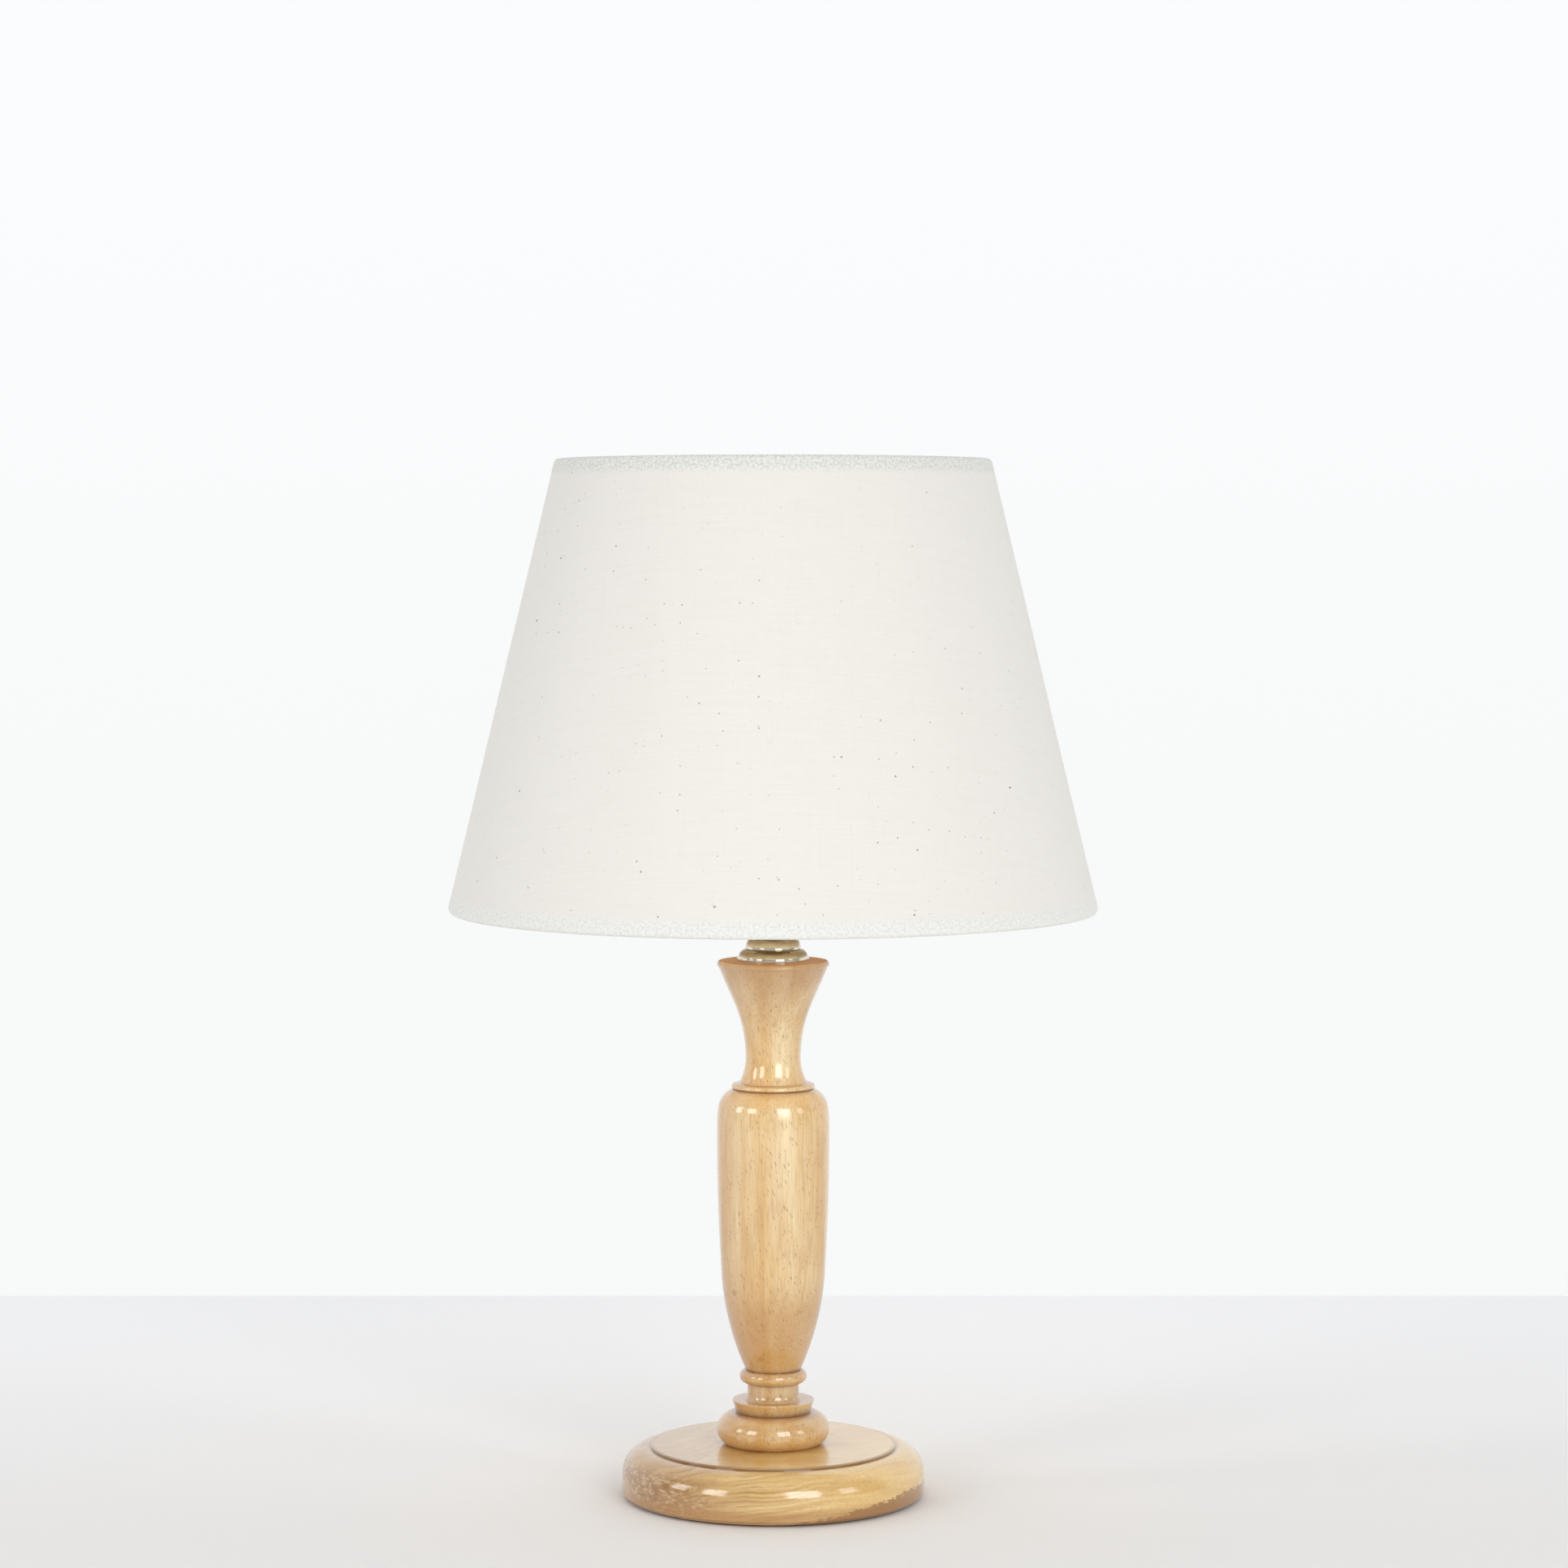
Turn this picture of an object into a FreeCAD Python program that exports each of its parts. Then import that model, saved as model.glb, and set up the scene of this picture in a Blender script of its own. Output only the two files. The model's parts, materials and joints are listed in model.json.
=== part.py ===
import FreeCAD
import Part
import math
import os
from FreeCAD import Vector

# A turned column table lamp: beech foot and column on a threaded tube, a stepped brass cap,
# a switched Edison screw holder, and a tapered linen shade on a wire frame.
# Millimetres, +Z up, origin on the table under the middle of the foot. The cord leaves towards +Y.

UP = Vector(0, 0, 1)
DOWN = Vector(0, 0, -1)
OUT = Vector(1, 0, 0)
BACK = Vector(0, 1, 0)
AXIS_FOOT = Vector(0, 0, 0)

# ---------------------------------------------------------------- foot
felt_thickness = 1.2
felt_inset = 6.0
base_diameter = 140.0
base_height = 23.2
base_heel = 1.6
base_edge_round = 11.6
disc_diameter = 113.4
disc_step = 1.3
disc_edge = 0.5
recess_diameter = 40.0
recess_depth = 11.0

# ---------------------------------------------------------------- column
foot_seat_diameter = 43.0
foot_diameter = 52.2
foot_widest_height = 6.9
foot_height = 15.0
anklet_low_diameter = 34.6
anklet_diameter = 37.6
anklet_height = 5.7
anklet_lip = 0.7
cove_diameter = 23.8
cove_flare = 1.3
cove_fillet = 3.2
cove_height = 7.9
bead_diameter = 31.2
bead_height = 6.2
body_low_diameter = 25.6
body_diameter = 52.0
body_height = 130.6
hip_height = 45.0
hip_taper = 2.0
belly_drop = 16.6
belly_length = 8.0
knee_drop = 8.7
knee_taper = 0.5
shoulder_diameter = 37.4
collar_diameter = 38.6
collar_height = 2.9
collar_slope = 0.4
neck_low_diameter = 31.2
neck_diameter = 25.5
neck_low_height = 11.6
neck_height = 56.4
flare_knot_diameter = 36.6
flare_knot_height = 37.6
rim_diameter = 52.0
rim_round = 1.5
rim_wrap = 60.0
tenon_diameter = 22.0
tenon_length = 8.0

# ---------------------------------------------------------------- threaded tube and its hardware
tube_diameter = 10.0
tube_bore = 7.6
tube_hole = 10.6
tube_tail = 2.4
washer_diameter = 28.0
washer_thickness = 1.6
nut_across_flats = 17.0
nut_height = 5.0
top_nut_across_flats = 14.0
top_nut_height = 3.0
thread_clearance = 0.1
wood_clearance = 0.15

# ---------------------------------------------------------------- cord way in the back of the foot
cord_bore = 6.6
grommet_diameter = 8.6
grommet_length = 11.0
grommet_flange_diameter = 12.4
grommet_flange = 1.4
grommet_seat_depth = 0.4
cord_height = 6.4

# ---------------------------------------------------------------- stepped brass cap
cap_flange_diameter = 33.5
cap_flange = 1.1
cap_lower_diameter = 32.4
cap_lower_height = 5.2
cap_lower_top_diameter = 26.8
cap_upper_diameter = 25.6
cap_groove = 0.4
cap_height = 12.0
cap_top_diameter = 16.6
cap_wall = 0.8

# ---------------------------------------------------------------- lampholder
boss_diameter = 16.0
boss_height = 7.0
holder_diameter = 38.0
holder_wall = 0.9
holder_flare = 12.0
holder_cup_height = 23.0
holder_neck_height = 5.0
holder_neck_step = 1.0
holder_length = 66.0
thread_fit = 0.1
grub_screw_diameter = 3.0
grub_screw_length = 3.2
switch_block_height = 19.0
block_clearance = 0.2
bar_width = 6.0
bar_thickness = 4.2
bar_length = 58.0
bar_round = 2.0
bar_height = 6.2
bar_travel = 6.0
bar_clearance = 0.3
terminal_length = 6.0
terminal_width = 5.0
terminal_height = 5.5
terminal_offset = 10.5
terminal_screw_diameter = 2.8
terminal_screw_length = 4.4
terminal_head_diameter = 4.8
terminal_head_height = 1.6
terminal_head_slot = 0.8
liner_lip = 1.4
shell_bore = 27.0
shell_wall = 0.5
contact_width = 5.0
contact_thickness = 0.5
contact_rise = 1.9
contact_reach = 3.0
contact_tail = 10.0
rivet_diameter = 2.0
rivet_head_diameter = 3.4
rivet_head_height = 0.7
rivet_length = 4.0
rivet_offset = 8.0
pinch_ring_diameter = 44.0
pinch_ring_height = 5.0
pinch_ring_chamfer = 0.7
pinch_ring_grips = 12
pinch_ring_grip_radius = 3.2
pinch_ring_grip_depth = 0.8
seat_below_mouth = 16.3
seat_gap = 0.2

# ---------------------------------------------------------------- shade
shade_low_diameter = 300.0
shade_top_diameter = 200.0
shade_height = 208.0
cover_thickness = 0.6
lining_thickness = 0.4
glue_line = 0.05
shade_wire_diameter = 3.0
hem_gap = 0.2
hem_leg = 2.6
hem_notch = 0.5
seam_width = 10.0
fitter_drop = 42.2
fitter_bore = 39.8
fitter_diameter = 48.4
fitter_thickness = 1.6
arm_diameter = 2.6
arm_count = 3

# ---------------------------------------------------------------- bulb
bulb_diameter = 60.0
bulb_length = 108.0
bulb_glass_wall = 0.9
bulb_neck_diameter = 24.6
bulb_cap_diameter = 26.4
bulb_cap_wall = 0.5
bulb_cap_height = 22.6
bulb_insulator_height = 2.6
bulb_insulator_ledge = 1.0
bulb_contact_diameter = 9.0
bulb_contact_flat = 4.5
bulb_contact_height = 1.2
bulb_neck_height = 9.0
bulb_neck_rise = 1.0
bulb_shoulder_lean = 36.0
bulb_seat_gap = 0.3

# ---------------------------------------------------------------- levels that the pieces share
base_bottom = felt_thickness
base_top = base_bottom + base_height
recess_ceiling = base_bottom + recess_depth
cord_axis = base_bottom + cord_height

anklet_bottom = base_top + foot_height
anklet_top = anklet_bottom + anklet_height
bead_bottom = anklet_top + cove_height
body_bottom = bead_bottom + bead_height
body_top = body_bottom + body_height
neck_bottom = body_top + collar_height
column_top = neck_bottom + neck_height
tenon_bottom = base_top - tenon_length

cap_top = column_top + cap_height
holder_bottom = cap_top + top_nut_height
cup_bottom = holder_bottom + boss_height
cup_straight = cup_bottom + holder_flare
cup_neck = holder_bottom + boss_height + holder_cup_height
cup_rim = cup_neck + holder_neck_height
holder_mouth = holder_bottom + holder_length
block_bottom = cup_straight + holder_wall
block_top = block_bottom + switch_block_height
bar_axis = block_bottom + bar_height
tube_bottom = recess_ceiling - washer_thickness - nut_height - tube_tail
tube_top = cup_bottom + holder_wall
shade_seat = holder_mouth - seat_below_mouth
fitter_bottom = shade_seat + seat_gap
fitter_top = fitter_bottom + fitter_thickness
shade_bottom = fitter_bottom - fitter_drop
shade_top = shade_bottom + shade_height
holder_inner = holder_diameter / 2 - 2 * holder_wall - thread_fit
contact_top = block_top + contact_rise + contact_thickness
bulb_bottom = contact_top + bulb_seat_gap


# ---------------------------------------------------------------- drawing tools
class Outline:
    """A closed outline of lines and arcs in the radius-height plane, turned about the lamp's axis."""

    def __init__(self, radius, height):
        self.start = Vector(radius, 0, height)
        self.here = self.start
        self.heading = UP
        self.edges = []

    def line(self, radius, height):
        there = Vector(radius, 0, height)
        self.edges.append(Part.LineSegment(self.here, there).toShape())
        self.heading = (there - self.here).normalize()
        self.here = there
        return self

    def arc(self, radius, height, leaving=None, arriving=None):
        """An arc to a point. It carries on from the last heading, unless a heading is given for an end."""
        there = Vector(radius, 0, height)
        if arriving is not None:
            leaving = mirrored(arriving, there - self.here)
        elif leaving is None:
            leaving = self.heading
        chord = there - self.here
        along = Vector(chord).normalize()
        side = leaving - along * leaving.dot(along)
        bend = leaving.getAngle(along)
        middle = self.here + chord * 0.5 + side.normalize() * (chord.Length / 2 * math.tan(bend / 2))
        self.edges.append(Part.Arc(self.here, middle, there).toShape())
        self.heading = mirrored(leaving, chord)
        self.here = there
        return self

    def swell(self, widest, radius, height):
        """An arc to a point, through a radius at half the height between. A line follows it."""
        there = Vector(radius, 0, height)
        middle = Vector(widest, 0, (self.here.z + height) / 2)
        self.edges.append(Part.Arc(self.here, middle, there).toShape())
        self.here = there
        return self

    def turn(self, angle=360.0):
        if (self.here - self.start).Length > 1e-6:
            self.line(self.start.x, self.start.z)
        face = Part.Face(Part.Wire(self.edges))
        return solid_of(face.revolve(AXIS_FOOT, UP, angle))


def mirrored(heading, chord):
    """The heading at the other end of an arc with this chord."""
    along = Vector(chord).normalize()
    return (along * (2 * heading.dot(along)) - heading).normalize()


def solid_of(shape):
    """The one solid in a shape, the right way out."""
    solid = shape.Solids[0] if shape.Solids else Part.makeSolid(shape)
    if solid.Volume < 0:
        solid.reverse()
    return solid


def post(radius, bottom, top, beside=AXIS_FOOT):
    """An upright cylinder between two levels, on the lamp's axis or beside it."""
    return Part.makeCylinder(radius, top - bottom, Vector(beside.x, beside.y, bottom))


def bore_back(radius, start):
    """A cylinder for the cord's way, from a distance behind the axis out through the back of the foot."""
    return Part.makeCylinder(radius, base_diameter / 2, Vector(0, start, cord_axis), BACK)


def ring(inner, outer, bottom, top):
    """A plain ring by its two radii and its two levels."""
    return post(outer, bottom, top).cut(post(inner, bottom, top))


def on_circle(radius, turn, height):
    """A point on a circle about the axis, a share of a full turn round from +X."""
    angle = 2 * math.pi * turn
    return Vector(radius * math.cos(angle), radius * math.sin(angle), height)


def hexagon(across_flats, height, bottom):
    points = [on_circle(across_flats / math.sqrt(3), k / 6, bottom) for k in range(7)]
    return Part.Face(Part.makePolygon(points)).extrude(UP * height)


def hex_nut(across_flats, height, bottom):
    """A hexagon nut with turned chamfers on both faces, on the threaded tube."""
    corner = across_flats / math.sqrt(3)
    chamfer = corner - across_flats / 2
    crown = Outline(0, bottom).line(corner - chamfer, bottom).line(corner + chamfer, bottom + chamfer)
    crown.line(corner + chamfer, bottom + height - chamfer).line(corner - chamfer, bottom + height)
    crown.line(0, bottom + height)
    nut = hexagon(across_flats, height, bottom).common(crown.turn())
    return solid_of(nut.cut(post(tube_diameter / 2 + thread_clearance, bottom, bottom + height)))


def rod_along(start, end, radius):
    return Part.makeCylinder(radius, (end - start).Length, start, end - start)


# ---------------------------------------------------------------- foot
def felt_pad():
    return post(base_diameter / 2 - felt_inset, 0, felt_thickness)


def base():
    radius = base_diameter / 2
    ledge = base_top - disc_step
    outline = Outline(0, base_bottom).line(radius - base_heel, base_bottom)
    outline.line(radius, base_bottom + base_heel)
    outline.line(radius, ledge - base_edge_round)
    outline.arc(radius - base_edge_round, ledge)
    outline.line(disc_diameter / 2, ledge)
    outline.line(disc_diameter / 2, base_top - disc_edge)
    outline.line(disc_diameter / 2 - disc_edge, base_top)
    outline.line(0, base_top)
    tube_way = post(tube_hole / 2, base_bottom, base_top)
    mortise = post(tenon_diameter / 2 + wood_clearance, tenon_bottom - wood_clearance, base_top)
    recess = post(recess_diameter / 2, base_bottom, recess_ceiling)
    cord_way = bore_back(grommet_diameter / 2 + wood_clearance, 0)
    flange_seat = bore_back(grommet_flange_diameter / 2 + wood_clearance, radius - grommet_seat_depth)
    return solid_of(outline.turn().cut([tube_way, mortise, recess, cord_way, flange_seat]))


def cord_grommet():
    """A flanged bush, pressed into the cord hole in the back of the foot."""
    face = base_diameter / 2 - grommet_seat_depth
    outline = Outline(cord_bore / 2, 0).line(grommet_diameter / 2, 0)
    outline.line(grommet_diameter / 2, grommet_length).line(grommet_flange_diameter / 2, grommet_length)
    outline.line(grommet_diameter / 2, grommet_length + grommet_flange)
    outline.line(cord_bore / 2, grommet_length + grommet_flange)
    bush = outline.turn()
    bush.rotate(AXIS_FOOT, OUT, -90)
    bush.translate(Vector(0, face - grommet_length, cord_axis))
    return bush


# ---------------------------------------------------------------- column
def column():
    """One beech turning, drawn from the rim down: flare, neck, collar, body, bead, cove, anklet and foot."""
    rim = rim_diameter / 2
    waist = neck_diameter / 2
    belly = body_diameter / 2
    wrap = math.radians(rim_wrap)
    waist_level = neck_bottom + neck_low_height
    knot = Vector(flare_knot_diameter / 2, 0, neck_bottom + flare_knot_height)
    knee = Vector(belly - knee_taper, 0, body_top - knee_drop)
    belly_top = Vector(belly, 0, body_top - belly_drop)

    wood = Outline(0, column_top).line(rim - rim_round, column_top)
    rim_end = Vector(rim - rim_round * (1 - math.cos(wrap)), 0, column_top - rim_round * (1 + math.sin(wrap)))
    wood.arc(rim_end.x, rim_end.z, leaving=OUT)
    flare_heading = mirrored(DOWN, Vector(waist, 0, waist_level) - knot)
    wood.arc(knot.x, knot.z, arriving=flare_heading)
    wood.arc(waist, waist_level)
    wood.arc(neck_low_diameter / 2, neck_bottom)

    wood.line(collar_diameter / 2 - collar_height / 2, neck_bottom - collar_slope)
    wood.swell(collar_diameter / 2, shoulder_diameter / 2, body_top)

    knee_heading = mirrored(DOWN, belly_top - knee)
    wood.arc(knee.x, knee.z, arriving=knee_heading)
    wood.arc(belly_top.x, belly_top.z)
    wood.line(belly, belly_top.z - belly_length)
    wood.arc(belly - hip_taper, body_bottom + hip_height)
    wood.arc(body_low_diameter / 2, body_bottom)

    wood.swell(bead_diameter / 2, cove_diameter / 2, bead_bottom)
    wood.line(cove_diameter / 2, anklet_top + cove_fillet)
    wood.arc(cove_diameter / 2 + cove_flare, anklet_top)
    wood.line(anklet_diameter / 2, anklet_top)
    wood.line(anklet_diameter / 2, anklet_top - anklet_lip)
    wood.line(anklet_low_diameter / 2, anklet_bottom)

    wood.arc(foot_diameter / 2, base_top + foot_widest_height, arriving=DOWN)
    wood.arc(foot_seat_diameter / 2, base_top)
    wood.line(tenon_diameter / 2, base_top).line(tenon_diameter / 2, tenon_bottom).line(0, tenon_bottom)
    return solid_of(wood.turn().cut(post(tube_hole / 2, tenon_bottom, column_top)))


# ---------------------------------------------------------------- threaded tube and its hardware
def threaded_tube():
    return ring(tube_bore / 2, tube_diameter / 2, tube_bottom, tube_top)


def tube_washer():
    return ring(tube_hole / 2, washer_diameter / 2, recess_ceiling - washer_thickness, recess_ceiling)


def tube_nut():
    return hex_nut(nut_across_flats, nut_height, recess_ceiling - washer_thickness - nut_height)


def top_nut():
    return hex_nut(top_nut_across_flats, top_nut_height, cap_top)


# ---------------------------------------------------------------- stepped brass cap
def stepped_cap():
    """A thin spun cap in two domed steps over a flat flange. Its hollow follows the steps in straight lines."""
    step = column_top + cap_lower_height
    lower_top = cap_lower_top_diameter / 2
    upper_foot = cap_upper_diameter / 2 - cap_groove
    outside = Outline(0, column_top).line(cap_flange_diameter / 2, column_top)
    outside.line(cap_flange_diameter / 2, column_top + cap_flange)
    outside.line(cap_lower_diameter / 2, column_top + cap_flange)
    outside.arc(lower_top, step, leaving=UP)
    outside.line(upper_foot, step).line(cap_upper_diameter / 2, step + cap_groove)
    outside.arc(cap_top_diameter / 2, cap_top, leaving=UP)
    outside.line(0, cap_top)
    hollow = Outline(0, column_top).line(cap_lower_diameter / 2 - cap_wall, column_top)
    hollow.line(lower_top - cap_wall, step - cap_wall).line(upper_foot - cap_wall, step - cap_wall)
    hollow.line(cap_top_diameter / 2 - cap_wall, cap_top - cap_wall).line(0, cap_top - cap_wall)
    return solid_of(outside.turn().cut([hollow.turn(), post(tube_hole / 2, column_top, cap_top)]))


# ---------------------------------------------------------------- lampholder
def bar_slot():
    """The space that the switch bar slides in, through both sides of the holder."""
    width = bar_width + 2 * bar_clearance
    height = bar_thickness + 2 * bar_clearance
    return Part.makeBox(bar_length, width, height, Vector(-bar_length / 2, -width / 2, bar_axis - height / 2))


def holder_cup():
    """The holder's lower cup: threaded boss, flared shoulder, straight wall and threaded neck."""
    outside = holder_diameter / 2
    outline = Outline(0, holder_bottom).line(boss_diameter / 2, holder_bottom)
    outline.line(boss_diameter / 2, cup_bottom)
    outline.arc(outside, cup_straight, arriving=UP)
    outline.line(outside, cup_neck).line(outside - holder_neck_step, cup_neck)
    outline.line(outside - holder_neck_step, cup_rim).line(0, cup_rim)
    floor = cup_bottom + holder_wall
    hollow = Outline(0, floor).line(boss_diameter / 2, floor)
    hollow.arc(holder_inner, cup_straight + holder_wall, arriving=UP)
    hollow.line(holder_inner, cup_rim).line(0, cup_rim)
    tube_way = post(tube_diameter / 2 + thread_clearance, holder_bottom, floor)
    grub_way = rod_along(*grub_line(), grub_screw_diameter / 2 + thread_clearance)
    return solid_of(outline.turn().cut([hollow.turn(), tube_way, grub_way, bar_slot()]))


def grub_line():
    """The grub screw's two ends, on the back of the boss."""
    level = holder_bottom + boss_height / 2
    outer = Vector(0, boss_diameter / 2, level)
    return outer - BACK * grub_screw_length, outer


def grub_screw():
    inner, outer = grub_line()
    inner.y = max(inner.y, tube_diameter / 2 + thread_clearance)
    return rod_along(inner, outer, grub_screw_diameter / 2)


def terminal_places():
    return [Vector(0, side * terminal_offset, block_bottom) for side in (-1, 1)]


def terminal_block(place, clearance=0.0):
    length = terminal_length + 2 * clearance
    width = terminal_width + 2 * clearance
    corner = place - Vector(length / 2, width / 2, 0)
    return Part.makeBox(length, width, terminal_height + clearance, corner)


def rivet_place():
    return OUT * -rivet_offset


def switch_block():
    """The moulded block in the cup, with the bar's slot, the terminals' pockets and the rivet's hole."""
    block = post(holder_inner - block_clearance, block_bottom, block_top)
    rivet_hole = post(rivet_diameter / 2, block_top - rivet_length, block_top, rivet_place())
    pockets = [terminal_block(place, block_clearance) for place in terminal_places()]
    return solid_of(block.cut([bar_slot(), rivet_hole] + pockets))


def terminals():
    radius = terminal_screw_diameter / 2 + thread_clearance
    blocks = []
    for place in terminal_places():
        thread = post(radius, place.z, place.z + terminal_height, place)
        blocks.append(solid_of(terminal_block(place).cut(thread)))
    return Part.makeCompound(blocks)


def terminal_screws():
    screws = []
    for place in terminal_places():
        head_bottom = place.z - terminal_head_height
        head = post(terminal_head_diameter / 2, head_bottom, place.z, place)
        shank = post(terminal_screw_diameter / 2, place.z, place.z + terminal_screw_length, place)
        corner = Vector(place.x - terminal_head_diameter / 2, place.y - terminal_head_slot / 2, head_bottom)
        slot = Part.makeBox(terminal_head_diameter, terminal_head_slot, terminal_head_slot, corner)
        screws.append(solid_of(head.fuse(shank).cut(slot)))
    return Part.makeCompound(screws)


def switch_bar():
    """The push-through bar, lying at the end of its travel."""
    corner = Vector(-bar_length / 2 - bar_travel / 2, -bar_width / 2, bar_axis - bar_thickness / 2)
    bar = Part.makeBox(bar_length, bar_width, bar_thickness, corner)
    upright = [edge for edge in bar.Edges if edge.BoundBox.ZLength > bar_thickness / 2]
    return solid_of(bar.makeFillet(bar_round, upright))


def holder_skirt():
    """The holder's upper tube. It screws over the cup's neck, and its outside carries the two pinch rings."""
    outside = holder_diameter / 2
    sleeve = outside - holder_neck_step + thread_fit
    outline = Outline(sleeve, cup_neck + thread_fit).line(outside, cup_neck + thread_fit)
    outline.line(outside, holder_mouth).line(holder_inner, holder_mouth)
    outline.line(holder_inner, cup_rim + thread_fit).line(sleeve, cup_rim + thread_fit)
    return outline.turn()


def socket_liner():
    """The ceramic liner in the skirt, with a bevelled lip over the skirt's end."""
    inner = shell_bore / 2 + shell_wall + thread_fit
    outer = holder_inner - block_clearance
    lip = holder_diameter / 2 - thread_fit
    seat = holder_mouth + thread_fit
    outline = Outline(inner, block_top).line(outer, block_top).line(outer, seat)
    outline.line(lip, seat).line(lip - liner_lip, seat + liner_lip).line(inner, seat + liner_lip)
    return outline.turn()


def screw_shell():
    return ring(shell_bore / 2, shell_bore / 2 + shell_wall, block_top, holder_mouth)


def centre_contact():
    """The springy tongue under the bulb, bent up from its riveted tail."""
    low = block_top
    high = block_top + contact_rise
    bends = [(-contact_tail, low), (-rivet_offset / 2, low), (-contact_reach / 2, high), (contact_reach, high)]
    lower = [Vector(x, -contact_width / 2, z) for x, z in bends]
    upper = [point + UP * contact_thickness for point in reversed(lower)]
    face = Part.Face(Part.makePolygon(lower + upper + lower[:1]))
    tongue = face.extrude(BACK * contact_width)
    return solid_of(tongue.cut(post(rivet_diameter / 2, low, low + contact_thickness, rivet_place())))


def contact_rivet():
    """The rivet that holds the tongue's tail down on the block."""
    top = block_top + contact_thickness
    shank = post(rivet_diameter / 2 - thread_clearance, block_top - rivet_length, top, rivet_place())
    head = post(rivet_head_diameter / 2, top, top + rivet_head_height, rivet_place())
    return solid_of(shank.fuse(head))


def pinch_ring(bottom):
    """A threaded ring with a scalloped grip, one under and one over the shade's fitter."""
    inner = holder_diameter / 2 + thread_fit
    outer = pinch_ring_diameter / 2
    top = bottom + pinch_ring_height
    outline = Outline(inner, bottom).line(outer - pinch_ring_chamfer, bottom)
    outline.line(outer, bottom + pinch_ring_chamfer).line(outer, top - pinch_ring_chamfer)
    outline.line(outer - pinch_ring_chamfer, top).line(inner, top)
    reach = outer + pinch_ring_grip_radius - pinch_ring_grip_depth
    scallops = [post(pinch_ring_grip_radius, bottom, top, on_circle(reach, k / pinch_ring_grips, bottom))
                for k in range(pinch_ring_grips)]
    return solid_of(outline.turn().cut(scallops))


# ---------------------------------------------------------------- shade
shade_lean = math.atan2((shade_low_diameter - shade_top_diameter) / 2, shade_height)
wire = shade_wire_diameter / 2
hem = wire + hem_gap + cover_thickness
OUTWARD = Vector(math.cos(shade_lean), 0, math.sin(shade_lean))
UPWARD = Vector(-math.sin(shade_lean), 0, math.cos(shade_lean))


def cone_point(height, depth):
    """A point in the shade's section, at a height, and at a depth inside the outer face."""
    radius = shade_low_diameter / 2 - (height - shade_bottom) * math.tan(shade_lean)
    return Vector(radius - depth / math.cos(shade_lean), 0, height)


low_wire = cone_point(shade_bottom + hem, hem)
top_wire = cone_point(shade_top - hem, hem)


def hem_edges(centre, side):
    """The cover's section at a wire: half round outside, a turned-in leg, and a V that holds the wire."""
    inside = wire + hem_gap
    fold = inside / math.sqrt(3)
    places = [(-hem, 0), (-hem, hem_leg), (-inside, hem_leg), (-inside, -fold), (0, -2 * fold), (inside, -fold)]
    corners = [centre + OUTWARD * out + UPWARD * (side * up) for out, up in places]
    bend = Part.Arc(centre + OUTWARD * hem, centre - UPWARD * (side * hem), corners[0]).toShape()
    return [bend] + [Part.LineSegment(*pair).toShape() for pair in zip(corners, corners[1:])]


def shade_cover():
    """The linen, one sheet from hem to hem, folded in over the wire at each end and notched for the arms."""
    low_hem, top_hem = hem_edges(low_wire, 1), hem_edges(top_wire, -1)
    inner_face = Part.LineSegment(low_hem[-1].lastVertex().Point, top_hem[-1].lastVertex().Point).toShape()
    outer_face = Part.LineSegment(top_hem[0].firstVertex().Point, low_hem[0].firstVertex().Point).toShape()
    section = Part.Wire(low_hem + [inner_face] + top_hem[::-1] + [outer_face])
    sheet = Part.Face(section).revolve(AXIS_FOOT, UP, 360)
    return solid_of(sheet.cut(arm_rods(arm_diameter / 2 + hem_notch, fitter_diameter)))


def lining_section(depth, thickness):
    """A strip of the lining's section between the two hems, as an outline."""
    ends = []
    for centre, side in ((low_wire, 1), (top_wire, -1)):
        level = centre + UPWARD * (side * hem)
        ends.append([level + OUTWARD * (hem - depth - offset) for offset in (0, thickness)])
    (low_face, low_back), (top_face, top_back) = ends
    outline = Outline(low_face.x, low_face.z).line(top_face.x, top_face.z)
    return outline.line(top_back.x, top_back.z).line(low_back.x, low_back.z)


def shade_lining():
    """The stiff lining behind the linen, lapped over itself in a seam at the back."""
    depth = cover_thickness + 2 * glue_line
    sheet = lining_section(depth, lining_thickness).turn()
    angle = math.degrees(seam_width / low_wire.x)
    lap = lining_section(depth + lining_thickness, lining_thickness).turn(angle)
    lap.rotate(AXIS_FOOT, UP, 90 - angle / 2)
    return solid_of(sheet.fuse(lap))


def wire_ring(centre):
    """The hoop inside a hem, where nothing shows it, so its section is eight-sided."""
    corners = [centre + OUT * point.x + UP * point.y for point in (on_circle(wire, k / 8, 0) for k in range(9))]
    return solid_of(Part.Face(Part.makePolygon(corners)).revolve(AXIS_FOOT, UP, 360))


def fitter_ring():
    """The flat ring that the holder's pinch rings grip."""
    return ring(fitter_bore / 2, fitter_diameter / 2, fitter_bottom, fitter_top)


def arm_rods(radius, start):
    """A rod for each arm, from a distance out from the axis to the low wire, the first at the back."""
    level = (fitter_bottom + fitter_top) / 2
    rods = []
    for k in range(arm_count):
        angle = 90 + 360 * k / arm_count
        rod = rod_along(Vector(start, 0, level), low_wire, radius)
        rod.rotate(AXIS_FOOT, UP, angle)
        rods.append(rod)
    return rods


def fitter_arms():
    """The wires that are welded between the fitter's edge and the inside of the low ring."""
    outside = ring(low_wire.x - wire, shade_low_diameter, shade_bottom - hem, shade_top)
    ends = [wire_ring(low_wire), fitter_ring(), outside]
    start = fitter_diameter / 2 - arm_diameter / 2
    arms = [solid_of(rod.cut(ends)) for rod in arm_rods(arm_diameter / 2, start)]
    return Part.makeCompound(arms)


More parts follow.
